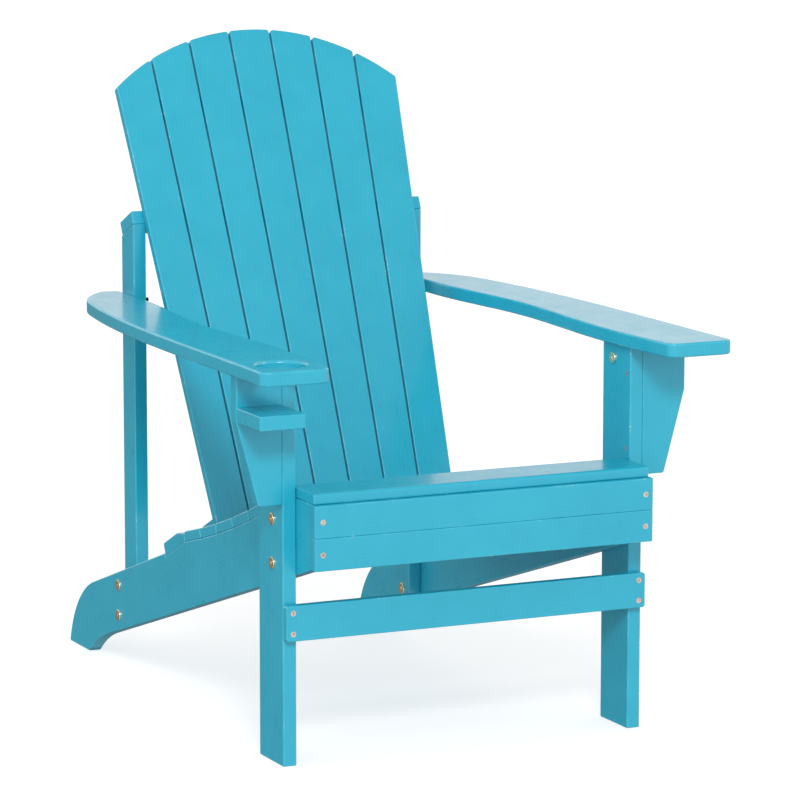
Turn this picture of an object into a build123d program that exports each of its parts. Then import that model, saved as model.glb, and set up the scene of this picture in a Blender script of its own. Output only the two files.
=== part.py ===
from build123d import *
import math
import os

# Adirondack chair with a cup holder, painted wood, bolted and screwed together.
# Millimetres. +X is the chair's right as seen from the front, the front faces -Y, +Z is up.
# The origin is on the ground, at the middle of the chair's length and width.
# "Behind" distances are measured backwards from the front faces of the front legs.

os.makedirs("parts", exist_ok=True)

# ---- board stock ----
board = 20.0  # legs, stringers, posts, arms, gussets, rails, ledge
slat_stock = 15.0  # seat slats and apron boards
lath_stock = 13.0  # back slats and front stretcher
slat_gap = 3.0  # space between neighbouring slats
free_play = 0.5  # room left beside boards that pass between others

# ---- overall sizes ----
seat_outside = 512.0  # over the outer faces of the two stringers
foot_reach = 875.0  # rear end of the feet
arm_overhang = 118.0  # arm boards reach this far in front of the legs
arm_top = 568.0  # height of the flat arms

# ---- front legs ----
leg_depth = 82.0

# ---- seat ----
front_setout = 53.0  # stringers reach this far in front of the legs
front_rest = 373.0  # height of the stringers under the front slat
front_slat_lip = 5.0  # front slat reaches over the top of the apron
front_slat_width = 76.0
front_slat_round = 4.0
wide_slat = 75.0
narrow_slat = 59.0
wide_slat_count = 2
narrow_slat_count = 4
seat_first_tilt = 23.3  # degrees below level, first sloping slat
seat_tilt_step = 1.8  # each slat behind lies this much flatter

# ---- stringers and rear feet ----
stringer_front_depth = 90.0
stringer_under_slope = 0.314  # fall of the straight lower edge
stringer_tail_slope = 0.333  # fall of the upper edge behind the seat
tail_round_length = 102.0  # rounding from the upper edge down to the toe
foot_length = 82.0
heel_round_length = 74.0
ledge_step = 5.0  # the ledge is let in this far at its rear edge

# ---- rear ledge ----
ledge_width = 84.0
ledge_lip = 12.0
ledge_plane_under = 7.0  # its planed front runs this far under the back slats

# ---- back ----
recline = 25.2  # degrees from upright
back_height = 771.0  # ledge to the crown of the arch, along the slope
shoulder_height = 685.0  # ledge to the outer top corners, along the slope
slat_count = 7
pitch_at_ledge = 55.5
pitch_at_shoulder = 65.9
slat_corner_round = 4.0
rail_depth = 51.0
upper_rail_height = 651.0  # underside of the rail, along the slope
upper_rail_half = 200.0
lower_rail_half = 190.0

# ---- rear posts ----
post_width = 48.0
post_above_arm = 107.4
post_foot_clear = 12.5  # above the stringers' lower edge

# ---- apron and stretcher ----
apron_overhang = 2.0
apron_end_round = 3.0
stretcher_height = 50.0
stretcher_bottom = 177.0
stretcher_corner_round = 4.0

# ---- arms ----
# Widths are measured outwards from the legs' inner faces, and at the tail from the posts' outer faces.
arm_front_width = 99.5
arm_mid_width = 97.0
arm_mid_behind = 130.0
arm_rear_width = 90.0
arm_rear_behind = 395.0
arm_tail_width = 85.0
arm_tail_before_post = 34.0
arm_bulge_width = 63.0
arm_bulge_past_post = 24.0  # behind the posts' front edges
arm_tip_width = 27.0
arm_tip_past_post = 19.0  # behind the posts' rear edges
arm_tip_square = 5.0
arm_tip_round = 8.0
arm_corner_round = 15.0
arm_ease = 3.0
arm_inner_swell = 11.0  # the arm widens towards the sitter here
arm_swell_behind = 75.0
arm_inner_scoop = 1.0
arm_scoop_behind = 360.0
arm_return_before_post = 41.0  # from here back the inner edge runs straight past the post

# ---- cup holder ----
cup_radius = 35.0
cup_inset = 46.5  # hole's middle from the leg's inner face
cup_before = 58.0
cup_rim_round = 4.0
cup_rim_under_round = 1.5
shelf_top = 503.0
shelf_reach = 80.0

# ---- gussets and arm cleats ----
gusset_width = 67.0
gusset_foot_width = 35.0
gusset_bottom = 365.0
gusset_shoulder = 483.0
gusset_corner_round = 4.0
cleat_width = 24.0
cleat_gap = 2.0  # between the gussets and the cleats
cleat_height = 44.0

# ---- connector bolts ----
bolt_radius = 3.0
bolt_head_radius = 8.5
bolt_head_height = 2.0
bolt_head_round = 0.9
bolt_hex = 5.0  # across the flats of the key socket
bolt_hex_depth = 1.5
nut_sleeve_radius = 4.2
nut_sleeve_length = 14.0
bolt_end_room = 6.0  # bolt stops this far inside the far face
thread_fit = 0.05
hole_fit = 0.2
leg_bolt_behind = 36.0
leg_bolt_heights = (340.0, 279.0)
post_bolt_drops = (20.9, 66.9)  # below the stringers' upper edge

# ---- arm studs ----
stud_proud = 12.0
stud_bite = 40.0
stud_nut_flats = 10.0
stud_nut_height = 6.0
stud_flange_radius = 8.0
stud_flange_height = 1.5

# ---- wood screws and dowels ----
screw_radius = 2.0
screw_head_radius = 4.0
screw_head_angle = 82.0
screw_tip = 5.0
screw_tip_radius = 0.4
screw_slot_width = 0.9
screw_slot_length = 4.6
screw_slot_depth = 1.3
screw_fit = 0.1
apron_screw_length = 35.0
seat_screw_length = 30.0
ledge_screw_length = 38.0
front_slat_screw_behind = -25.0
stretcher_screw_length = 40.0
stretcher_screw_pitch = 29.0
gusset_screw_length = 40.0
gusset_screw_heights = (509.0, 403.0)
rail_screw_length = 38.0
lower_rail_screw_across = 150.0
arm_screw_length = 56.0
arm_screw_pitch = 36.0
shelf_screw_length = 40.0
shelf_screw_edge = 12.0
dowel_radius = 3.0
dowel_length = 30.0
dowel_in_slat = 10.0

# ---- sizes that follow from those above ----
stringer_outer = seat_outside / 2
stringer_inner = stringer_outer - board
stringer_mid = stringer_outer - board / 2
leg_inner = stringer_outer
leg_outer = leg_inner + board
leg_mid = leg_inner + board / 2
leg_top = arm_top - board
post_outer = stringer_inner
post_inner = post_outer - board
post_mid = post_outer - board / 2
leg_front = -(foot_reach - arm_overhang) / 2
seat_half = stringer_outer - free_play
apron_front = -front_setout - slat_stock
apron_height = stringer_front_depth / 2
arm_front_outer = leg_inner + arm_front_width
arm_mid_outer = leg_inner + arm_mid_width
arm_rear_outer = leg_inner + arm_rear_width
arm_tail_outer = post_outer + arm_tail_width
arm_bulge_outer = post_outer + arm_bulge_width
arm_tip_outer = post_outer + arm_tip_width
cup_across = leg_inner + cup_inset
gusset_outer = leg_outer + gusset_width
cleat_outer = leg_outer + cleat_width
cleat_length = leg_depth - board - cleat_gap
cleat_mid_behind = leg_depth - cleat_length / 2
bolt_hole_radius = nut_sleeve_radius + hole_fit
lean = math.radians(recline)
sides = {"left": -1, "right": 1}


def side_plane(across):
    """Upright fore-and-aft plane; sketch x runs backwards from the leg fronts, sketch y is height."""
    return Plane(origin=(across, leg_front, 0), x_dir=(0, 1, 0), z_dir=(1, 0, 0))


def spot(across, behind, up, facing):
    """Place of a fastener's head: a point and the direction the head faces."""
    return Plane(origin=(across, leg_front + behind, up), z_dir=facing)


def bed_plane(behind, up, tilt):
    """Plane of a seat board's underside; sketch y runs down the slope to the rear."""
    angle = math.radians(tilt)
    facing = (0, math.sin(angle), math.cos(angle))
    return Plane(origin=(0, leg_front + behind, up), x_dir=(1, 0, 0), z_dir=facing)


# ---- the seat line: flats on the stringers' upper edges, one for each slat ----
seat_break = front_slat_width - front_setout - front_slat_lip + slat_gap / 2
seat_points = [(seat_break, front_rest)]
seat_tilts = []
slat_widths = [wide_slat] * wide_slat_count + [narrow_slat] * narrow_slat_count
for number, width in enumerate(slat_widths):
    tilt = seat_first_tilt - number * seat_tilt_step
    angle = math.radians(tilt)
    pitch = width + slat_gap
    last_behind, last_up = seat_points[-1]
    seat_points.append((last_behind + pitch * math.cos(angle), last_up - pitch * math.sin(angle)))
    seat_tilts.append(tilt)

ledge_front, ledge_bed = seat_points[-1]
ledge_flat = lath_stock + rail_depth - ledge_plane_under
ledge_end = (ledge_front + ledge_width * math.cos(lean), ledge_bed - ledge_width * math.sin(lean))
tail_start = (ledge_end[0] + ledge_step * math.sin(lean), ledge_end[1] + ledge_step * math.cos(lean))
tail_round_start = foot_reach - tail_round_length
tail_round_up = tail_start[1] - stringer_tail_slope * (tail_round_start - tail_start[0])
heel = foot_reach - foot_length
under_front = front_rest - stringer_front_depth
under_end = heel - heel_round_length
under_end_up = under_front - stringer_under_slope * (under_end + front_setout)

# ---- the back: its plane lies on the slats' front faces, with its foot on the ledge ----
back_setback = ledge_width - lath_stock - rail_depth
back_foot_behind = ledge_front + back_setback * math.cos(lean) + board * math.sin(lean)
back_foot_up = ledge_bed - back_setback * math.sin(lean) + board * math.cos(lean)
back_plane = Plane(
    origin=(0, leg_front + back_foot_behind, back_foot_up),
    x_dir=(1, 0, 0),
    z_dir=(0, -math.cos(lean), math.sin(lean)),
)
pitch_growth = (pitch_at_shoulder - pitch_at_ledge) / shoulder_height
shoulder_half = slat_count * pitch_at_shoulder / 2
arch_rise = back_height - shoulder_height
arch_radius = (shoulder_half**2 + arch_rise**2) / (2 * arch_rise)
arch_centre = back_height - arch_radius


def back_point(height, depth):
    """Side-view place (behind, up) of a point up the back's slope and behind the slats' front faces."""
    behind = back_foot_behind + height * math.sin(lean) + depth * math.cos(lean)
    up = back_foot_up + height * math.cos(lean) - depth * math.sin(lean)
    return behind, up


def back_place(across, height, depth, facing_up):
    """Plane at a point of the back, facing up its slope or out of the slats' front faces."""
    behind, up = back_point(height, depth)
    facing = (0, math.sin(lean), math.cos(lean)) if facing_up else (0, -math.cos(lean), math.sin(lean))
    return spot(across, behind, up, facing)


# ---- the posts: the middle rail lies on their sloping tops, and the arms run past them ----
post_front_up = arm_top + post_above_arm
post_slat_depth = lath_stock + free_play
middle_rail_height = (post_front_up - back_foot_up + post_slat_depth * math.sin(lean)) / math.cos(lean)
post_front_behind = back_point(middle_rail_height, post_slat_depth)[0]
post_rear_behind = post_front_behind + post_width
post_rear_up = post_front_up - post_width * math.tan(lean)
post_mid_behind = post_front_behind + post_width / 2
post_edge_up = tail_start[1] - stringer_tail_slope * (post_mid_behind - tail_start[0])
post_bottom = under_front - stringer_under_slope * (post_mid_behind + front_setout) + post_foot_clear
arm_tail_behind = post_front_behind - arm_tail_before_post
arm_bulge_behind = post_front_behind + arm_bulge_past_post
arm_tip_behind = post_rear_behind + arm_tip_past_post
arm_tip_inner_behind = arm_tip_behind - arm_tip_square
arm_inner_return = post_front_behind - arm_return_before_post

# ---- places of the fasteners ----
leg_bolts_at = []
leg_nuts_at = []
post_bolts_at = []
post_nuts_at = []
cleat_bolts_at = []
cleat_nuts_at = []
studs_at = []
apron_screws_at = []
stretcher_screws_at = []
gusset_screws_at = []
arm_screws_at = []
rail_screws_at = []
front_slat_screws_at = []
for sign in sides.values():
    out = (sign, 0, 0)
    inward = (-sign, 0, 0)
    for up in leg_bolt_heights:
        leg_bolts_at.append(spot(sign * leg_outer, leg_bolt_behind, up, out))
        leg_nuts_at.append(spot(sign * stringer_inner, leg_bolt_behind, up, inward))
    for drop in post_bolt_drops:
        up = post_edge_up - drop
        post_bolts_at.append(spot(sign * stringer_outer, post_mid_behind, up, out))
        post_nuts_at.append(spot(sign * post_inner, post_mid_behind, up, inward))
    cleat_up = leg_top - cleat_height / 2
    cleat_bolts_at.append(spot(sign * leg_inner, cleat_mid_behind, cleat_up, inward))
    cleat_nuts_at.append(spot(sign * cleat_outer, cleat_mid_behind, cleat_up, out))
    studs_at.append(spot(sign * post_inner, post_mid_behind, arm_top - board / 2, inward))
    for row in range(2):
        up = front_rest - apron_height * (row + 0.5)
        apron_screws_at.append(spot(sign * stringer_mid, apron_front, up, (0, -1, 0)))
    for step in (-0.5, 0.5):
        up = stretcher_bottom + stretcher_height / 2 + step * stretcher_screw_pitch
        stretcher_screws_at.append(spot(sign * leg_mid, -lath_stock, up, (0, -1, 0)))
        along = cleat_mid_behind + step * arm_screw_pitch
        cleat_mid = leg_outer + cleat_width / 2
        arm_screws_at.append(spot(sign * cleat_mid, along, leg_top - cleat_height, (0, 0, -1)))
    for up in gusset_screw_heights:
        gusset_screws_at.append(spot(sign * leg_inner, board / 2, up, inward))
    front_slat_screws_at.append(
        spot(sign * stringer_mid, front_slat_screw_behind, front_rest + slat_stock, (0, 0, 1))
    )
    rail_screw_depth = lath_stock + rail_depth / 2
    rail_screws_at.append(
        back_place(sign * post_mid, middle_rail_height + board, rail_screw_depth, True)
    )
    rail_screws_at.append(back_place(sign * lower_rail_screw_across, board, rail_screw_depth, True))

seat_screws_at = []
for (behind, up), tilt, width in zip(seat_points, seat_tilts, slat_widths):
    top = bed_plane(behind, up, tilt).offset(slat_stock)
    for sign in sides.values():
        centre = top.from_local_coords(Vector(sign * stringer_mid, (width + slat_gap) / 2, 0))
        seat_screws_at.append(Plane(origin=centre, z_dir=top.z_dir))

ledge_screws_at = []
ledge_top = bed_plane(ledge_front, ledge_bed, recline).offset(board)
for sign in sides.values():
    centre = ledge_top.from_local_coords(Vector(sign * stringer_mid, ledge_width - ledge_flat / 2, 0))
    ledge_screws_at.append(Plane(origin=centre, z_dir=ledge_top.z_dir))

shelf_screws_at = []
for across in (cleat_outer + screw_head_radius * 2, gusset_outer - shelf_screw_edge):
    shelf_screws_at.append(spot(-across, board, shelf_top - board / 2, (0, 1, 0)))


def slat_pitch(height):
    """Distance between the middles of neighbouring back slats at a height up the slope."""
    return pitch_at_ledge + pitch_growth * height


rail_mids = (board / 2, middle_rail_height + board / 2, upper_rail_height + board / 2)
dowels_at = []
for number in range(slat_count):
    place = number - (slat_count - 1) / 2
    for height in rail_mids:
        depth = lath_stock - dowel_in_slat
        dowels_at.append(back_place(place * slat_pitch(height), height, depth, False))


# ---- fastener shapes; each is added at every place of the enclosing Locations ----
def drill_for_screws(places, length):
    """Countersunk holes that start at the screw heads and clear the screws' full length."""
    with Locations(*places):
        CounterSinkHole(
            radius=screw_radius + screw_fit,
            counter_sink_radius=screw_head_radius + screw_fit,
            depth=length + screw_fit,
            counter_sink_angle=screw_head_angle,
        )


def drill_through(places):
    """Bolt holes right through."""
    with Locations(*places):
        Hole(radius=bolt_hole_radius)


def drill_for_dowels():
    """Blind dowel holes, in the slats and in the rails."""
    with Locations(*dowels_at):
        Cylinder(
            radius=dowel_radius + screw_fit,
            height=dowel_length + screw_fit,
            align=(Align.CENTER, Align.CENTER, Align.MAX),
            mode=Mode.SUBTRACT,
        )


def add_screws(places, length):
    """Countersunk wood screws with cross recesses, heads flush with the wood."""
    below = (Align.CENTER, Align.CENTER, Align.MAX)
    head_height = (screw_head_radius - screw_radius) / math.tan(math.radians(screw_head_angle / 2))
    with Locations(*places):
        Cone(screw_radius, screw_head_radius, head_height, align=below)
        Cylinder(screw_radius, length - screw_tip, align=below)
        with Locations((0, 0, -(length - screw_tip))):
            Cone(screw_tip_radius, screw_radius, screw_tip, align=below)
        Box(screw_slot_length, screw_slot_width, screw_slot_depth, align=below, mode=Mode.SUBTRACT)
        Box(screw_slot_width, screw_slot_length, screw_slot_depth, align=below, mode=Mode.SUBTRACT)


def round_heads(part):
    """Round over the rims of flat bolt heads."""
    rims = part.edges().filter_by(GeomType.CIRCLE)
    proud = rims.filter_by(lambda rim: abs(rim.radius - bolt_head_radius) < thread_fit)
    far_from_middle = proud.filter_by(lambda rim: not touches_board(rim))
    fillet(far_from_middle, radius=bolt_head_round)


def touches_board(rim):
    """Whether a head's rim is the one that lies on a board."""
    faces = (leg_outer, leg_inner, stringer_outer, stringer_inner, post_inner, cleat_outer)
    return any(abs(abs(rim.center().X) - face) < thread_fit for face in faces)


def add_bolts(places, grip):
    """Flat-head connector bolts; grip is the thickness of wood they hold together."""
    below = (Align.CENTER, Align.CENTER, Align.MAX)
    above = (Align.CENTER, Align.CENTER, Align.MIN)
    with Locations(*places):
        Cylinder(bolt_head_radius, bolt_head_height, align=above)
        Cylinder(bolt_radius, grip - bolt_end_room, align=below)
        with Locations((0, 0, bolt_head_height)):
            add_key_socket()


def add_cap_nuts(places):
    """Sleeve nuts with flat heads, bored for the bolts that meet them."""
    below = (Align.CENTER, Align.CENTER, Align.MAX)
    above = (Align.CENTER, Align.CENTER, Align.MIN)
    with Locations(*places):
        Cylinder(bolt_head_radius, bolt_head_height, align=above)
        Cylinder(nut_sleeve_radius, nut_sleeve_length, align=below)
        Cylinder(bolt_radius + thread_fit, nut_sleeve_length, align=below, mode=Mode.SUBTRACT)
        with Locations((0, 0, bolt_head_height)):
            add_key_socket()


def add_key_socket():
    """Six-sided key socket, cut down from the head's face."""
    with Locations((0, 0, -bolt_hex_depth)):
        hexagon = Solid.extrude(
            Face(Wire.make_polygon(hexagon_corners(bolt_hex), close=True)),
            Vector(0, 0, bolt_hex_depth),
        )
        add(hexagon, mode=Mode.SUBTRACT)


def hexagon_corners(flats):
    """Corners of a level hexagon about the origin, from its width across the flats."""
    reach = flats / math.sqrt(3)
    turns = [math.radians(60 * corner) for corner in range(6)]
    return [(reach * math.cos(turn), reach * math.sin(turn), 0) for turn in turns]


def save(part, name):
    """Label a finished piece and write it under its name."""
    part.label = name
    export_step(part, f"parts/{name}.step")


# ---- front legs, stringers and posts ----
for side, sign in sides.items():
    with BuildPart() as leg:
        with BuildSketch(side_plane(sign * leg_mid)):
            with Locations((leg_depth / 2, leg_top / 2)):
                Rectangle(leg_depth, leg_top)
        extrude(amount=board / 2, both=True)
        drill_through(leg_bolts_at + cleat_bolts_at)
        drill_for_screws(stretcher_screws_at, stretcher_screw_length)
        drill_for_screws(gusset_screws_at, gusset_screw_length)
    save(leg.part, f"front_leg_{side}")

    with BuildPart() as stringer:
        with BuildSketch(side_plane(sign * stringer_mid)):
            with BuildLine():
                Polyline(
                    (under_end, under_end_up),
                    (-front_setout, under_front),
                    (-front_setout, front_rest),
                    *seat_points,
                    ledge_end,
                    tail_start,
                    (tail_round_start, tail_round_up),
                )
                TangentArc(
                    (tail_round_start, tail_round_up),
                    (foot_reach, 0),
                    tangent=(1, -stringer_tail_slope),
                )
                Line((foot_reach, 0), (heel, 0))
                TangentArc(
                    (under_end, under_end_up),
                    (heel, 0),
                    tangent=(1, -stringer_under_slope),
                )
            make_face()
        extrude(amount=board / 2, both=True)
        drill_through(leg_bolts_at + post_bolts_at)
        drill_for_screws(apron_screws_at, apron_screw_length)
        drill_for_screws(front_slat_screws_at + seat_screws_at, seat_screw_length)
        drill_for_screws(ledge_screws_at, ledge_screw_length)
    save(stringer.part, f"stringer_{side}")

    with BuildPart() as post:
        with BuildSketch(side_plane(sign * post_mid)):
            with BuildLine():
                Polyline(
                    (post_front_behind, post_bottom),
                    (post_front_behind, post_front_up),
                    (post_rear_behind, post_rear_up),
                    (post_rear_behind, post_bottom),
                    close=True,
                )
            make_face()
        extrude(amount=board / 2, both=True)
        drill_through(post_bolts_at + studs_at)
        drill_for_screws(rail_screws_at, rail_screw_length)
    save(post.part, f"rear_post_{side}")

# ---- apron boards and front stretcher ----
for row, name in enumerate(("apron_upper", "apron_lower")):
    with BuildPart() as apron:
        with BuildSketch(Plane.XZ.offset(-leg_front - apron_front)):
            with Locations((0, front_rest - apron_height * (row + 0.5))):
                Rectangle(2 * (stringer_outer + apron_overhang), apron_height)
        extrude(amount=-slat_stock)
        fillet(apron.edges().filter_by(Axis.Z), radius=apron_end_round)
        drill_for_screws(apron_screws_at, apron_screw_length)
    save(apron.part, name)

with BuildPart() as stretcher:
    with BuildSketch(Plane.XZ.offset(-leg_front)):
        with Locations((0, stretcher_bottom + stretcher_height / 2)):
            Rectangle(2 * leg_outer, stretcher_height)
    extrude(amount=lath_stock)
    fillet(stretcher.edges().filter_by(Axis.Y), radius=stretcher_corner_round)
    drill_for_screws(stretcher_screws_at, stretcher_screw_length)
save(stretcher.part, "front_stretcher")

# ---- seat: the level front slat, the sloping slats, and the ledge under the back ----
with BuildPart() as front_slat:
    with BuildSketch(Plane.XY.offset(front_rest)):
        with Locations((0, leg_front - front_setout - front_slat_lip + front_slat_width / 2)):
            Rectangle(2 * seat_half, front_slat_width)
    extrude(amount=slat_stock)
    fillet(front_slat.edges().filter_by(Axis.X).group_by(Axis.Z)[-1], radius=front_slat_round)
    drill_for_screws(front_slat_screws_at, seat_screw_length)
save(front_slat.part, "seat_slat_1")

for number, width in enumerate(slat_widths):
    behind, up = seat_points[number]
    with BuildPart() as seat_slat:
        with BuildSketch(bed_plane(behind, up, seat_tilts[number])):
            with Locations((0, (width + slat_gap) / 2)):
                Rectangle(2 * seat_half, width)
        extrude(amount=slat_stock)
        drill_for_screws(seat_screws_at, seat_screw_length)
    save(seat_slat.part, f"seat_slat_{number + 2}")

seat_lean = math.radians(seat_tilts[-1])
ledge_nose = ledge_bed - slat_gap / 2 * math.sin(lean)
ledge_nose_behind = ledge_front + slat_gap / 2 * math.cos(lean)
ledge_brow = (
    ledge_nose_behind + ledge_lip * math.sin(seat_lean),
    ledge_nose + ledge_lip * math.cos(seat_lean),
)
ledge_flat_start = (
    ledge_front + (ledge_width - ledge_flat) * math.cos(lean) + board * math.sin(lean),
    ledge_bed - (ledge_width - ledge_flat) * math.sin(lean) + board * math.cos(lean),
)
ledge_heel = (ledge_end[0] + board * math.sin(lean), ledge_end[1] + board * math.cos(lean))
with BuildPart() as ledge:
    with BuildSketch(side_plane(0)):
        with BuildLine():
            Polyline(
                (ledge_nose_behind, ledge_nose),
                ledge_brow,
                ledge_flat_start,
                ledge_heel,
                ledge_end,
                close=True,
            )
        make_face()
    extrude(amount=seat_half, both=True)
    drill_for_screws(ledge_screws_at, ledge_screw_length)
    drill_for_screws(rail_screws_at, rail_screw_length)
save(ledge.part, "rear_ledge")


# ---- back slats and rails ----
def arch_crossing(foot, drift):
    """Height where a slat edge meets the arched top; the edge starts at foot and drifts outwards."""
    a = 1 + drift**2
    b = 2 * (foot * drift - arch_centre)
    c = foot**2 + arch_centre**2 - arch_radius**2
    return (-b + math.sqrt(b**2 - 4 * a * c)) / (2 * a)


for number in range(slat_count):
    left_edge = number - slat_count / 2
    right_edge = left_edge + 1
    left_foot = left_edge * pitch_at_ledge + slat_gap / 2
    right_foot = right_edge * pitch_at_ledge - slat_gap / 2
    left_top = arch_crossing(left_foot, left_edge * pitch_growth)
    right_top = arch_crossing(right_foot, right_edge * pitch_growth)
    left_corner = (left_foot + left_edge * pitch_growth * left_top, left_top)
    right_corner = (right_foot + right_edge * pitch_growth * right_top, right_top)
    crown = (left_corner[0] + right_corner[0]) / 2
    crown_up = arch_centre + math.sqrt(arch_radius**2 - crown**2)
    with BuildPart() as back_slat:
        with BuildSketch(back_plane) as outline:
            with BuildLine():
                Polyline(left_corner, (left_foot, 0), (right_foot, 0), right_corner)
                ThreePointArc(right_corner, (crown, crown_up), left_corner)
            make_face()
            fillet(outline.vertices().sort_by(Axis.Y)[-2:], radius=slat_corner_round)
        extrude(amount=-lath_stock)
        drill_for_dowels()
    save(back_slat.part, f"back_slat_{number + 1}")

rails = {
    "back_rail_lower": (0, lower_rail_half),
    "back_rail_middle": (middle_rail_height, post_outer),
    "back_rail_upper": (upper_rail_height, upper_rail_half),
}
for name, (height, half) in rails.items():
    with BuildPart() as rail:
        with BuildSketch(back_plane.offset(-lath_stock)):
            with Locations((0, height + board / 2)):
                Rectangle(2 * half, board)
        extrude(amount=-rail_depth)
        drill_for_dowels()
        drill_for_screws(rail_screws_at, rail_screw_length)
    save(rail.part, name)

# ---- arms, gussets, cleats and cup shelf ----
for side, sign in sides.items():
    with BuildPart() as arm:
        with BuildSketch(Plane(origin=(0, leg_front, leg_top))):
            with BuildLine():
                Line((sign * leg_inner, -arm_overhang), (sign * arm_front_outer, -arm_overhang))
                Spline(
                    (sign * arm_front_outer, -arm_overhang),
                    (sign * arm_mid_outer, arm_mid_behind),
                    (sign * arm_rear_outer, arm_rear_behind),
                    (sign * arm_tail_outer, arm_tail_behind),
                )
                ThreePointArc(
                    (sign * arm_tail_outer, arm_tail_behind),
                    (sign * arm_bulge_outer, arm_bulge_behind),
                    (sign * arm_tip_outer, arm_tip_behind),
                )
                Polyline(
                    (sign * arm_tip_outer, arm_tip_behind),
                    (sign * post_outer, arm_tip_inner_behind),
                    (sign * post_outer, arm_inner_return),
                )
                Spline(
                    (sign * post_outer, arm_inner_return),
                    (sign * (leg_inner - arm_inner_scoop), arm_scoop_behind),
                    (sign * (leg_inner - arm_inner_swell), arm_swell_behind),
                    (sign * leg_inner, -arm_overhang),
                    tangents=((0, -1), (sign * arm_inner_swell, -arm_overhang)),
                )
            make_face()
        extrude(amount=board)
        corners = arm.edges().filter_by(Axis.Z)
        fillet(corners.group_by(Axis.Y)[0], radius=arm_corner_round)
        inner_tip = arm.edges().filter_by(Axis.Z).sort_by(Axis.Y)[-2:]
        fillet(inner_tip, radius=arm_tip_round)
        fillet(arm.faces().sort_by(Axis.Z)[-1].edges(), radius=arm_ease)
        fillet(arm.faces().sort_by(Axis.Z)[0].edges(), radius=arm_ease)
        if side == "left":
            with Locations(spot(-cup_across, -cup_before, arm_top, (0, 0, 1))):
                Hole(radius=cup_radius)
            rims = arm.edges().filter_by(GeomType.CIRCLE).filter_by(lambda e: e.radius == cup_radius)
            fillet(rims.sort_by(Axis.Z)[-1], radius=cup_rim_round)
            rims = arm.edges().filter_by(GeomType.CIRCLE).filter_by(lambda e: e.radius == cup_radius)
            fillet(rims.sort_by(Axis.Z)[0], radius=cup_rim_under_round)
        drill_for_screws(arm_screws_at, arm_screw_length)
        with Locations(*studs_at):
            Hole(radius=bolt_radius + hole_fit, depth=board + stud_bite + hole_fit)
    save(arm.part, f"arm_{side}")

    with BuildPart() as gusset:
        with BuildSketch(Plane.XZ.offset(-leg_front)) as outline:
            with BuildLine():
                Polyline(
                    (sign * leg_outer, leg_top),
                    (sign * gusset_outer, leg_top),
                    (sign * gusset_outer, gusset_shoulder),
                    (sign * (leg_outer + gusset_foot_width), gusset_bottom),
                    (sign * leg_outer, gusset_bottom),
                    close=True,
                )
            make_face()
            lower = outline.vertices().sort_by(Axis.Y)[:3]
            clear_of_leg = leg_outer + gusset_foot_width / 2
            fillet(lower.filter_by(lambda v: abs(v.X) > clear_of_leg), radius=gusset_corner_round)
        extrude(amount=-board)
        drill_for_screws(gusset_screws_at, gusset_screw_length)
        drill_for_screws(shelf_screws_at, shelf_screw_length)
    save(gusset.part, f"gusset_{side}")

    with BuildPart() as cleat:
        with Locations((sign * (leg_outer + cleat_width / 2), leg_front + cleat_mid_behind, leg_top)):
            Box(cleat_width, cleat_length, cleat_height, align=(Align.CENTER, Align.CENTER, Align.MAX))
        drill_through(cleat_bolts_at)
        drill_for_screws(arm_screws_at, arm_screw_length)
    save(cleat.part, f"arm_cleat_{side}")

with BuildPart() as shelf:
    with BuildSketch(Plane(origin=(0, leg_front, shelf_top - board))):
        with Locations((-(leg_outer + gusset_outer) / 2, -shelf_reach / 2)):
            Rectangle(gusset_width, shelf_reach)
    extrude(amount=board)
    fillet(shelf.edges().filter_by(Axis.Z).group_by(Axis.Y)[0], radius=apron_end_round)
    drill_for_screws(shelf_screws_at, shelf_screw_length)
save(shelf.part, "cup_shelf")

# ---- fasteners ----
bolt_groups = {
    "leg_bolts": (leg_bolts_at, 2 * board),
    "post_bolts": (post_bolts_at, 2 * board),
    "cleat_bolts": (cleat_bolts_at, board + cleat_width),
}
for name, (places, grip) in bolt_groups.items():
    with BuildPart() as bolts:
        add_bolts(places, grip)
        round_heads(bolts)
    save(bolts.part, name)

nut_groups = {"leg_nuts": leg_nuts_at, "post_nuts": post_nuts_at, "cleat_nuts": cleat_nuts_at}
for name, places in nut_groups.items():
    with BuildPart() as nuts:
        add_cap_nuts(places)
        round_heads(nuts)
    save(nuts.part, name)

with BuildPart() as studs:
    with Locations(*studs_at):
        with Locations((0, 0, stud_proud)):
            Cylinder(
                bolt_radius,
                stud_proud + board + stud_bite,
                align=(Align.CENTER, Align.CENTER, Align.MAX),
            )
save(studs.part, "arm_post_studs")

with BuildPart() as stud_nuts:
    with Locations(*studs_at):
        Cylinder(stud_flange_radius, stud_flange_height, align=(Align.CENTER, Align.CENTER, Align.MIN))
        hexagon = Solid.extrude(
            Face(Wire.make_polygon(hexagon_corners(stud_nut_flats), close=True)),
            Vector(0, 0, stud_nut_height),
        )
        add(hexagon)
        Hole(radius=bolt_radius + thread_fit, depth=stud_nut_height)
save(stud_nuts.part, "arm_post_nuts")

screw_groups = {
    "apron_screws": (apron_screws_at, apron_screw_length),
    "stretcher_screws": (stretcher_screws_at, stretcher_screw_length),
    "gusset_screws": (gusset_screws_at, gusset_screw_length),
    "seat_screws": (front_slat_screws_at + seat_screws_at, seat_screw_length),
    "ledge_screws": (ledge_screws_at, ledge_screw_length),
    "rail_screws": (rail_screws_at, rail_screw_length),
    "arm_screws": (arm_screws_at, arm_screw_length),
    "cup_shelf_screws": (shelf_screws_at, shelf_screw_length),
}
for name, (places, length) in screw_groups.items():
    with BuildPart() as screws:
        add_screws(places, length)
    save(screws.part, name)

with BuildPart() as dowels:
    with Locations(*dowels_at):
        Cylinder(dowel_radius, dowel_length, align=(Align.CENTER, Align.CENTER, Align.MAX))
save(dowels.part, "back_dowels")
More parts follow.
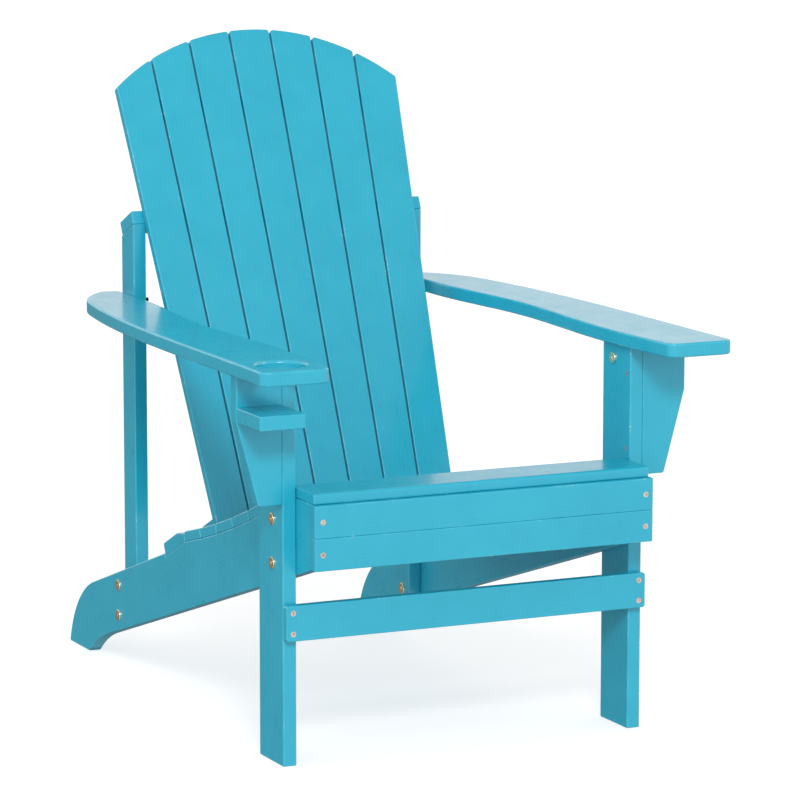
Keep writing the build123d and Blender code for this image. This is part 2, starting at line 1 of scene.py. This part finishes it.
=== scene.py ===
"""Finished looks of a painted adirondack chair with a cup holder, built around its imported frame.

The boards are welded copies of the frame's solids with hand-eased edges. The bolts, screws and
dowels are the frame's own nodes. Every finish is worked out from nodes in the chair's own space.
"""

import logging
import math
from dataclasses import dataclass, field
from enum import Enum

import bmesh
import bpy
from mathutils import Euler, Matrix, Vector


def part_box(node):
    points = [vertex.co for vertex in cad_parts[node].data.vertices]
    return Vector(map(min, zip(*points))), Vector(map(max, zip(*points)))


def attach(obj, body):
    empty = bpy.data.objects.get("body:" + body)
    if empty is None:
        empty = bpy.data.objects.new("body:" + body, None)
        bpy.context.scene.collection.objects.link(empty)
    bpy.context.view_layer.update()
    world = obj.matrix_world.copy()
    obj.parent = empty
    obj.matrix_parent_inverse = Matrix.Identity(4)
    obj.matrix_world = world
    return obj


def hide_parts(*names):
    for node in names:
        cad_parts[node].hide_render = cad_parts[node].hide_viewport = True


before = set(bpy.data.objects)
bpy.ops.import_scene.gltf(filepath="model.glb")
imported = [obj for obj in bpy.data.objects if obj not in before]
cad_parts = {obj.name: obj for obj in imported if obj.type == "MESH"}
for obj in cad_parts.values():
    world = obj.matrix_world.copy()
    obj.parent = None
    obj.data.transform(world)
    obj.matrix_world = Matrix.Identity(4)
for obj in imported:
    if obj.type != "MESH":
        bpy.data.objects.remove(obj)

LOG = logging.getLogger("chair")
BODY = "root"
EDGE_MARK = "eased_edge"
WELD_DISTANCE = 1e-5
FLAT_ANGLE = math.radians(0.2)
SHARP_ANGLE = math.radians(55)
SMOOTH_ANGLE = math.radians(36)
ROUND_PROFILE = 0.5
ROUNDED_SLOPES = (0.12, 0.98)  # how upright the normal of a rounded edge's face is
HOLE_SPAN = 0.022  # closed rims smaller than this are screw and bolt holes
NOISE_SUM = (0.7, 1.3)  # where the sum of two noises mostly lies

Colour = tuple[float, float, float, float]
Triple = tuple[float, float, float]
Pair = tuple[float, float]
WHITE: Colour = (1.0, 1.0, 1.0, 1.0)


class Grain(Enum):
    """Which way a board's grain runs."""

    ACROSS = "across"
    FORE_AND_AFT = "fore_and_aft"
    UPRIGHT = "upright"
    RECLINED = "reclined"
    SLOPING = "sloping"

    def turn(self) -> Euler:
        """Rotation that brings the grain along X."""
        if self is Grain.ACROSS:
            return Euler((0.0, 0.0, 0.0))
        rises = {
            Grain.FORE_AND_AFT: 0.0,
            Grain.UPRIGHT: math.pi / 2,
            Grain.RECLINED: steepness("back_slat_4"),
            Grain.SLOPING: -steepness("stringer_left"),
        }
        return Euler((-rises[self], 0.0, -math.pi / 2))


def steepness(node: str) -> float:
    """Angle between a long board and the level, from its box.

    Args:
        node: The board's node.

    Returns:
        The angle in radians.
    """
    low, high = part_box(node)
    return math.atan2(high.z - low.z, high.y - low.y)


@dataclass(frozen=True)
class Ramp:
    """A change from one level to another over a range, held at both ends."""

    start: float
    end: float
    first: float = 0.0
    last: float = 1.0


@dataclass(frozen=True)
class Pattern:
    """Noise with so many spots per metre, levels of finer noise, and a stretch along each axis."""

    scale: float
    detail: float
    stretch: Triple = (1.0, 1.0, 1.0)


@dataclass(frozen=True)
class Relief:
    """How strongly a pattern shapes the surface, and how deep it is in metres."""

    strength: float
    depth: float


class Graph:
    """A node tree under construction, with short ways to add and join its nodes."""

    def __init__(self, owner: bpy.types.Material | bpy.types.World) -> None:
        """Start on a material or world.

        Args:
            owner: What the nodes belong to.
        """
        owner.use_nodes = True
        self.tree = owner.node_tree

    def add(self, kind: str, settings: dict | None = None, **inputs: object) -> bpy.types.Node:
        """Add a node.

        Args:
            kind: Blender's name for the node type.
            settings: Properties of the node itself.
            **inputs: Values or sockets for its inputs, with _ for a space in a socket's name.

        Returns:
            The new node.
        """
        node = self.tree.nodes.new(kind)
        for key, value in (settings or {}).items():
            setattr(node, key, value)
        for key, value in inputs.items():
            self.feed(node.inputs[key.replace("_", " ")], value)
        return node

    def feed(self, socket: bpy.types.NodeSocket, value: object) -> None:
        """Give a socket a value, or join another socket to it.

        Args:
            socket: The input to set.
            value: A plain value or an output socket.
        """
        if isinstance(value, bpy.types.NodeSocket):
            self.tree.links.new(value, socket)
        else:
            socket.default_value = value

    def remap(self, value: bpy.types.NodeSocket, ramp: Ramp) -> bpy.types.NodeSocket:
        """Read a value through a ramp.

        Args:
            value: The value to read.
            ramp: What its range becomes.

        Returns:
            The new value's socket.
        """
        node = self.add("ShaderNodeMapRange", Value=value, From_Min=ramp.start, From_Max=ramp.end,
                        To_Min=ramp.first, To_Max=ramp.last)
        return node.outputs[0]

    def math(self, operation: str, first: object, second: object) -> bpy.types.NodeSocket:
        """Join two values with one sum.

        Args:
            operation: Blender's name for the sum, such as MULTIPLY.
            first: A value or socket.
            second: A value or socket.

        Returns:
            The result's socket.
        """
        node = self.add("ShaderNodeMath", {"operation": operation})
        self.feed(node.inputs[0], first)
        self.feed(node.inputs[1], second)
        return node.outputs[0]

    def mix(self, share: object, first: object, second: object) -> bpy.types.NodeSocket:
        """Mix two colours.

        Args:
            share: How much of the second colour, 0 to 1.
            first: A colour or socket.
            second: A colour or socket.

        Returns:
            The mixed colour's socket.
        """
        node = self.add("ShaderNodeMix", {"data_type": "RGBA"})
        self.feed(node.inputs["Factor"], share)
        self.feed(node.inputs[6], first)
        self.feed(node.inputs[7], second)
        return node.outputs[2]


class Shader(Graph):
    """One material under construction."""

    def __init__(self, name: str) -> None:
        """Start an empty material.

        Args:
            name: The material's name.
        """
        self.material = bpy.data.materials.new(name)
        super().__init__(self.material)
        self.surface = self.tree.nodes["Principled BSDF"]
        self.place = self.add("ShaderNodeTexCoord").outputs["Object"]

    def noise(self, pattern: Pattern, turn: Euler | None = None) -> bpy.types.NodeSocket:
        """Noise between 0 and 1 in the object's own coordinates.

        Args:
            pattern: The noise and its stretch, which needs a turn.
            turn: Rotation that comes before the stretch.

        Returns:
            The noise value's socket.
        """
        where = self.place
        if turn is not None:
            turned = self.add("ShaderNodeMapping", Vector=self.place, Rotation=turn).outputs[0]
            where = self.add("ShaderNodeMapping", Vector=turned, Scale=pattern.stretch).outputs[0]
        node = self.add("ShaderNodeTexNoise", Vector=where, Scale=pattern.scale, Detail=pattern.detail)
        return node.outputs[0]

    def bumps(self, *layers: tuple[bpy.types.NodeSocket, Relief]) -> None:
        """Stack bumps and join them to the surface.

        Args:
            *layers: Height socket and relief of each bump.
        """
        normal = None
        for height, relief in layers:
            node = self.add("ShaderNodeBump", Height=height, Strength=relief.strength, Distance=relief.depth)
            if normal is not None:
                self.feed(node.inputs["Normal"], normal)
            normal = node.outputs[0]
        self.feed(self.surface.inputs["Normal"], normal)

    def set_surface(self, **inputs: object) -> None:
        """Set or join inputs of the surface shader.

        Args:
            **inputs: Values or sockets, with _ for a space in a socket's name.
        """
        for key, value in inputs.items():
            self.feed(self.surface.inputs[key.replace("_", " ")], value)


@dataclass(frozen=True)
class BoardPaint:
    """Brushed semi-gloss paint over sanded softwood, scuffed along the edges, and paler on the edges:
    thinner, worn paint there, plus a painted highlight.
    """

    colour: Colour = (0.012, 0.372, 0.515, 1.0)
    deep: Colour = (0.008, 0.342, 0.480, 1.0)
    # paler paint: the grain's pale fibres, and on the eased edges worn thin paint plus a painted highlight
    paler_paint_and_highlight: Colour = (0.036, 0.430, 0.570, 1.0)
    primer: Colour = (0.50, 0.60, 0.60, 1.0)
    roughness: Pair = (0.26, 0.40)
    refraction: float = 1.47
    coat: float = 0.35
    coat_roughness: float = 0.14

    fibre: Pattern = Pattern(280.0, 2.0, (0.014, 1.0, 1.0))
    figure: Pattern = Pattern(42.0, 2.0, (0.07, 1.0, 1.0))
    brush: Pattern = Pattern(620.0, 2.0, (0.012, 1.0, 1.0))
    cloud: Pattern = Pattern(4.5, 3.0)
    mottle: Pattern = Pattern(26.0, 4.0)
    speck: Pattern = Pattern(330.0, 2.0)

    cloud_share: float = 0.6
    mottle_share: float = 0.4
    tone_depth: Ramp = Ramp(0.36, 0.64)
    figure_shade: Ramp = Ramp(0.54, 0.76, 0.0, 0.14)
    fibre_fade: Ramp = Ramp(0.58, 0.80, 0.0, 0.12)
    # how much paler the eased edges go: partly worn paint, partly a painted highlight along every edge
    edge_wear_and_highlight: Ramp = Ramp(0.38, 0.62, 0.15, 0.75)
    scuff_grit: Ramp = Ramp(0.60, 0.66)
    scuff_patch: Ramp = Ramp(0.56, 0.64)

    figure_relief: Relief = Relief(0.07, 0.0008)
    fibre_relief: Relief = Relief(0.06, 0.0003)
    brush_relief: Relief = Relief(0.07, 0.0002)
    speck_relief: Relief = Relief(0.05, 0.0002)

    def material(self, grain: Grain) -> bpy.types.Material:
        """Make the paint for boards whose grain runs one way.

        Args:
            grain: The way the boards' grain runs.

        Returns:
            The finished material.
        """
        ink = Shader(f"turquoise_paint_{grain.value}")
        turn = grain.turn()
        fibre = ink.noise(self.fibre, turn)
        figure = ink.noise(self.figure, turn)
        brush = ink.noise(self.brush, turn)
        cloud = ink.noise(self.cloud)
        mottle = ink.noise(self.mottle)
        speck = ink.noise(self.speck)
        edge = ink.add("ShaderNodeAttribute", {"attribute_name": EDGE_MARK}).outputs["Fac"]

        tone = ink.math("ADD", ink.math("MULTIPLY", cloud, self.cloud_share),
                        ink.math("MULTIPLY", mottle, self.mottle_share))
        # eased edges painted paler everywhere: thinner, worn paint, and a painted highlight along every edge
        worn_and_highlit_edges = ink.math("MULTIPLY", edge, ink.remap(mottle, self.edge_wear_and_highlight))
        scuff = ink.math("MULTIPLY", ink.remap(speck, self.scuff_grit), ink.remap(mottle, self.scuff_patch))
        body = ink.mix(ink.remap(tone, self.tone_depth), self.deep, self.colour)
        body = ink.mix(ink.remap(figure, self.figure_shade), body, self.deep)
        body = ink.mix(ink.remap(fibre, self.fibre_fade), body, self.paler_paint_and_highlight)
        body = ink.mix(worn_and_highlit_edges, body, self.paler_paint_and_highlight)
        body = ink.mix(ink.math("MULTIPLY", edge, scuff), body, self.primer)

        ink.set_surface(
            Base_Color=body,
            Roughness=ink.remap(ink.math("ADD", mottle, brush), Ramp(*NOISE_SUM, *self.roughness)),
            IOR=self.refraction,
            Coat_Weight=self.coat,
            Coat_Roughness=self.coat_roughness,
        )
        ink.bumps((figure, self.figure_relief), (fibre, self.fibre_relief),
                  (brush, self.brush_relief), (speck, self.speck_relief))
        return ink.material


@dataclass(frozen=True)
class PlatedSteel:
    """Plated steel hardware, a little uneven in colour and finely scratched."""

    name: str
    colour: Colour
    stain: Colour
    roughness: Pair

    cloud: Pattern = Pattern(210.0, 3.0)
    scratch: Pattern = Pattern(2600.0, 2.0, (1.0, 0.05, 1.0))
    pit: Pattern = Pattern(1500.0, 2.0)
    scratch_turn: Triple = (0.4, 0.7, 0.2)
    staining: Ramp = Ramp(0.42, 0.62)
    scratch_relief: Relief = Relief(0.25, 0.00005)
    pit_relief: Relief = Relief(0.2, 0.00006)

    def material(self) -> bpy.types.Material:
        """Make the plating.

        Returns:
            The finished material.
        """
        ink = Shader(self.name)
        cloud = ink.noise(self.cloud)
        scratch = ink.noise(self.scratch, Euler(self.scratch_turn))
        pit = ink.noise(self.pit)
        ink.set_surface(
            Base_Color=ink.mix(ink.remap(cloud, self.staining), self.colour, self.stain),
            Roughness=ink.remap(ink.math("ADD", cloud, scratch), Ramp(*NOISE_SUM, *self.roughness)),
            Metallic=1.0,
        )
        ink.bumps((scratch, self.scratch_relief), (pit, self.pit_relief))
        return ink.material


@dataclass(frozen=True)
class TurnedDowel:
    """Bare hardwood dowel."""

    pale: Colour = (0.62, 0.44, 0.26, 1.0)
    dark: Colour = (0.42, 0.27, 0.14, 1.0)
    roughness: float = 0.7
    fibre: Pattern = Pattern(900.0, 4.0, (0.1, 1.0, 1.0))
    fibre_shade: Ramp = Ramp(0.35, 0.65)
    fibre_relief: Relief = Relief(0.3, 0.0002)

    def material(self) -> bpy.types.Material:
        """Make the bare wood.

        Returns:
            The finished material.
        """
        ink = Shader("dowel_wood")
        fibre = ink.noise(self.fibre, Grain.FORE_AND_AFT.turn())
        ink.set_surface(
            Base_Color=ink.mix(ink.remap(fibre, self.fibre_shade), self.pale, self.dark),
            Roughness=self.roughness,
        )
        ink.bumps((fibre, self.fibre_relief))
        return ink.material


@dataclass
class Finishes:
    """Every finish on the chair, made once and shared."""

    paint: BoardPaint = BoardPaint()
    yellow_zinc: PlatedSteel = PlatedSteel(
        name="yellow_zinc",
        colour=(0.95, 0.80, 0.52, 1.0),
        stain=(0.84, 0.62, 0.42, 1.0),
        roughness=(0.16, 0.32),
    )
    screw_steel: PlatedSteel = PlatedSteel(
        name="screw_plating",
        colour=(0.70, 0.64, 0.57, 1.0),
        stain=(0.62, 0.43, 0.34, 1.0),
        roughness=(0.22, 0.42),
    )
    black_zinc: PlatedSteel = PlatedSteel(
        name="black_zinc",
        colour=(0.035, 0.036, 0.04, 1.0),
        stain=(0.07, 0.065, 0.06, 1.0),
        roughness=(0.35, 0.55),
    )
    dowel: TurnedDowel = TurnedDowel()
    made: dict[str, bpy.types.Material] = field(default_factory=dict)

    def painted(self, grain: Grain) -> bpy.types.Material:
        """Paint for one grain direction, made on first use.

        Args:
            grain: The way the board's grain runs.

        Returns:
            The shared material.
        """
        if grain.name not in self.made:
            self.made[grain.name] = self.paint.material(grain)
        return self.made[grain.name]


def outline_edges(shape: bmesh.types.BMesh) -> list[bmesh.types.BMEdge]:
    """Find a board's sharp outer edges, leaving out the rims of screw and bolt holes.

    Args:
        shape: The welded board.

    Returns:
        The edges to ease, in mesh order.
    """
    shape.edges.index_update()
    waiting = {edge.index: edge for edge in shape.edges
               if edge.is_manifold and edge.calc_face_angle(0.0) > SHARP_ANGLE}
    chosen = []
    while waiting:
        first = next(iter(waiting))
        reached = [waiting.pop(first)]
        run = []
        while reached:
            edge = reached.pop()
            run.append(edge)
            for vert in edge.verts:
                for other in vert.link_edges:
                    if other.index in waiting:
                        reached.append(waiting.pop(other.index))
        corners = [vert.co for edge in run for vert in edge.verts]
        span = max((corner - corners[0]).length for corner in corners)
        if span > HOLE_SPAN:
            chosen.extend(run)
    return chosen


def mark_rounded(shape: bmesh.types.BMesh, mark: bmesh.types.BMLayerItem) -> None:
    """Mark the faces of edges that the frame already rounds.

    Args:
        shape: The welded board, lying level.
        mark: The layer that holds the mark.
    """
    flattest, steepest = ROUNDED_SLOPES
    for face in shape.faces:
        face[mark] = 1.0 if flattest < abs(face.normal.z) < steepest else 0.0


@dataclass
class Board:
    """One painted board: a welded copy of its frame node with eased edges."""

    node: str
    grain: Grain
    ease: float
    segments: int = 3

    def build(self) -> bpy.types.Object:
        """Copy, weld and ease the board.

        Returns:
            The finished object, at the origin.
        """
        shape = bmesh.new()
        shape.from_mesh(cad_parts[self.node].data)
        bmesh.ops.remove_doubles(shape, verts=shape.verts, dist=WELD_DISTANCE)
        bmesh.ops.dissolve_limit(shape, angle_limit=FLAT_ANGLE, use_dissolve_boundaries=False,
                                 verts=shape.verts, edges=shape.edges, delimit=set())
        mark = shape.faces.layers.float.new(EDGE_MARK)
        if self.ease > 0:
            eased = bmesh.ops.bevel(shape, geom=outline_edges(shape), offset=self.ease, offset_type="OFFSET",
                                    segments=self.segments, profile=ROUND_PROFILE, affect="EDGES",
                                    clamp_overlap=False, material=-1)
            for face in eased["faces"]:
                face[mark] = 1.0
        else:
            mark_rounded(shape, mark)
        mesh = bpy.data.meshes.new(f"{self.node}_board")
        shape.to_mesh(mesh)
        shape.free()
        mesh.shade_smooth()
        mesh.set_sharp_from_angle(angle=SMOOTH_ANGLE)
        piece = bpy.data.objects.new(f"{self.node}_board", mesh)
        bpy.context.scene.collection.objects.link(piece)
        normals = piece.modifiers.new("even_shading", "WEIGHTED_NORMAL")
        normals.keep_sharp = True
        return piece

    def dress(self, finishes: Finishes, piece: bpy.types.Object) -> None:
        """Paint the board and set it on the chair.

        Args:
            finishes: The chair's finishes.
            piece: The board's object.
        """
        piece.data.materials.clear()
        piece.data.materials.append(finishes.painted(self.grain))
        for face in piece.data.polygons:
            face.material_index = 0
        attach(piece, BODY)
        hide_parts(self.node)
        LOG.info("board %s, %d faces", piece.name, len(piece.data.polygons))


@dataclass
class Carpentry:
    """A sub-assembly of painted boards."""

    finishes: Finishes

    def boards(self) -> list[Board]:
        """The sub-assembly's boards, in the order they are made."""
        raise NotImplementedError

    def build(self) -> None:
        """Make and paint every board."""
        for board in self.boards():
            board.dress(self.finishes, board.build())


@dataclass
class Undercarriage(Carpentry):
    """Front legs, stringers, rear posts, apron and front stretcher."""

    leg_ease: float = 0.0018
    apron_ease: float = 0.0014

    def boards(self) -> list[Board]:
        """Legs and posts stand, stringers slope down to the rear, the rest lie across."""
        made = []
        for side in ("left", "right"):
            made.append(Board(f"front_leg_{side}", Grain.UPRIGHT, self.leg_ease))
            made.append(Board(f"rear_post_{side}", Grain.UPRIGHT, self.leg_ease))
            made.append(Board(f"stringer_{side}", Grain.SLOPING, self.leg_ease))
        for name in ("apron_upper", "apron_lower", "front_stretcher"):
            made.append(Board(name, Grain.ACROSS, self.apron_ease))
        return made


@dataclass
class SeatDeck(Carpentry):
    """Seven seat slats and the ledge behind them."""

    slat_count: int = 7
    slat_ease: float = 0.0018

    def boards(self) -> list[Board]:
        """All lie across the chair."""
        names = [f"seat_slat_{number + 1}" for number in range(self.slat_count)] + ["rear_ledge"]
        return [Board(name, Grain.ACROSS, self.slat_ease) for name in names]


@dataclass
class Backrest(Carpentry):
    """Seven tapered back slats and the three rails behind them."""

    slat_count: int = 7
    slat_ease: float = 0.0015

    def boards(self) -> list[Board]:
        """Slats run up the slope, rails lie across."""
        made = []
        for number in range(self.slat_count):
            made.append(Board(f"back_slat_{number + 1}", Grain.RECLINED, self.slat_ease))
        for height in ("lower", "middle", "upper"):
            made.append(Board(f"back_rail_{height}", Grain.ACROSS, self.slat_ease))
        return made


@dataclass
class Armrests(Carpentry):
    """Arm boards, their gussets and cleats, and the cup shelf."""

    bracket_ease: float = 0.0016

    def boards(self) -> list[Board]:
        """Arms run fore and aft and are already rounded; brackets stand."""
        made = []
        for side in ("left", "right"):
            made.append(Board(f"arm_{side}", Grain.FORE_AND_AFT, 0.0))
            made.append(Board(f"gusset_{side}", Grain.UPRIGHT, self.bracket_ease))
            made.append(Board(f"arm_cleat_{side}", Grain.FORE_AND_AFT, self.bracket_ease))
        made.append(Board("cup_shelf", Grain.ACROSS, self.bracket_ease))
        return made


@dataclass
class Hardware:
    """Bolts, nuts, studs, screws and dowels: the frame's own nodes, with their finishes."""

    finishes: Finishes
    yellow: tuple[str, ...] = ("leg_bolts", "leg_nuts", "post_bolts", "post_nuts",
                               "cleat_bolts", "cleat_nuts")
    black: tuple[str, ...] = ("arm_post_studs", "arm_post_nuts")
    bright: tuple[str, ...] = ("apron_screws", "stretcher_screws", "gusset_screws", "rail_screws",
                               "arm_screws", "cup_shelf_screws")
    painted_over: tuple[str, ...] = ("seat_screws", "ledge_screws")
    wooden: tuple[str, ...] = ("back_dowels",)

    def dress(self) -> None:
        """Give each group its plating, paint or bare wood."""
        self.finish(self.yellow, self.finishes.yellow_zinc.material())
        self.finish(self.black, self.finishes.black_zinc.material())
        self.finish(self.bright, self.finishes.screw_steel.material())
        self.finish(self.painted_over, self.finishes.painted(Grain.ACROSS))
        self.finish(self.wooden, self.finishes.dowel.material())

    def finish(self, names: tuple[str, ...], material: bpy.types.Material) -> None:
        """Put one material on several nodes.

        Args:
            names: The frame's nodes.
            material: Their finish.
        """
        for name in names:
            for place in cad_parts[name].material_slots:
                place.material = material
            LOG.info("hardware %s in %s", name, material.name)


@dataclass
class Studio:
    """Pale floor, soft lights and the camera."""

    floor_half: float = 60.0
    floor_shade: Colour = (0.5, 0.5, 0.5, 1.0)
    floor_roughness: float = 0.9
    floor_glow: float = 0.62

    overhead: Ramp = Ramp(0.25, 0.7, 1.18, 0.58)
    leftward: Ramp = Ramp(-0.9, 0.1, 1.25, 1.0)
    underfoot: Ramp = Ramp(-0.65, -0.15, 0.6, 1.08)
    low_behind: Ramp = Ramp(0.25, 0.8, 1.0, 0.2)
    above_horizon: Ramp = Ramp(-0.04, 0.02)
    below_horizon: Ramp = Ramp(-0.04, 0.02, 1.0, 0.0)

    key_place: Triple = (-1.8, -4.8, 3.4)
    key_size: Pair = (1.2, 1.0)
    key_power: float = 156.0

    azimuth: float = -24.789
    elevation: float = 9.480
    distance: float = 6.185
    aim: Triple = (0.0120, -0.0565, 0.4223)
    lens: float = 192.22
    sensor_width: float = 36.0
    shift: Pair = (0.0302, 0.0166)

    def build(self) -> None:
        """Set up everything that isn't the chair."""
        self.lay_floor()
        self.light_room()
        self.hang_key()
        self.place_camera()

    def lay_floor(self) -> None:
        """A wide matt floor that stays pale to its far edge."""
        shape = bmesh.new()
        bmesh.ops.create_grid(shape, x_segments=1, y_segments=1, size=self.floor_half)
        mesh = bpy.data.meshes.new("studio_floor")
        shape.to_mesh(mesh)
        shape.free()
        floor = bpy.data.objects.new("studio_floor", mesh)
        bpy.context.scene.collection.objects.link(floor)
        ink = Shader("studio_paper")
        ink.set_surface(Base_Color=self.floor_shade, Roughness=self.floor_roughness,
                        Emission_Color=WHITE, Emission_Strength=self.floor_glow)
        mesh.materials.append(ink.material)
        floor.visible_glossy = False
        floor.visible_diffuse = False

    def light_room(self) -> None:
        """White room light: strongest near the horizon, weaker overhead, and weak low down behind."""
        world = bpy.data.worlds.new("studio_room")
        room = Graph(world)
        direction = room.add("ShaderNodeTexCoord").outputs["Generated"]
        across, along, up = room.add("ShaderNodeSeparateXYZ", Vector=direction).outputs
        upper = room.math("MULTIPLY", room.remap(up, self.overhead), room.remap(across, self.leftward))
        lower = room.math("MULTIPLY", room.remap(up, self.underfoot), room.remap(along, self.low_behind))
        strength = room.math("ADD", room.math("MULTIPLY", upper, room.remap(up, self.above_horizon)),
                             room.math("MULTIPLY", lower, room.remap(up, self.below_horizon)))
        light = room.tree.nodes["Background"].inputs
        room.feed(light["Strength"], strength)
        room.feed(light["Color"], WHITE)
        bpy.context.scene.world = world
        bpy.context.scene.view_settings.view_transform = "Standard"

    def hang_key(self) -> None:
        """Hang the soft main light, facing the chair from high up in front."""
        lamp = bpy.data.lights.new("key", "AREA")
        lamp.shape = "RECTANGLE"
        lamp.size, lamp.size_y = self.key_size
        lamp.energy = self.key_power
        holder = bpy.data.objects.new("key", lamp)
        holder.location = self.key_place
        towards = Vector(self.aim) - Vector(self.key_place)
        holder.rotation_euler = towards.to_track_quat("-Z", "Y").to_euler()
        bpy.context.scene.collection.objects.link(holder)

    def place_camera(self) -> None:
        """Put the camera at the viewing angle, a long way off."""
        turn, tilt = math.radians(self.azimuth), math.radians(self.elevation)
        level = math.cos(tilt)
        ahead = Vector((-math.sin(turn) * level, math.cos(turn) * level, -math.sin(tilt)))
        lens = bpy.data.cameras.new("camera")
        lens.sensor_width = self.sensor_width
        lens.lens = self.lens
        lens.shift_x, lens.shift_y = self.shift
        camera = bpy.data.objects.new("camera", lens)
        camera.location = Vector(self.aim) - ahead * self.distance
        camera.rotation_euler = ahead.to_track_quat("-Z", "Y").to_euler()
        bpy.context.scene.collection.objects.link(camera)
        bpy.context.scene.camera = camera


def main() -> None:
    """Build the chair piece by piece, then the studio."""
    logging.basicConfig(level=logging.INFO, format="%(name)s: %(message)s")
    bpy.context.view_layer.update()
    finishes = Finishes()
    for assembly in (Undercarriage(finishes), SeatDeck(finishes), Backrest(finishes), Armrests(finishes)):
        assembly.build()
    Hardware(finishes).dress()
    Studio().build()
    bpy.context.view_layer.update()


if __name__ == "__main__":
    main()
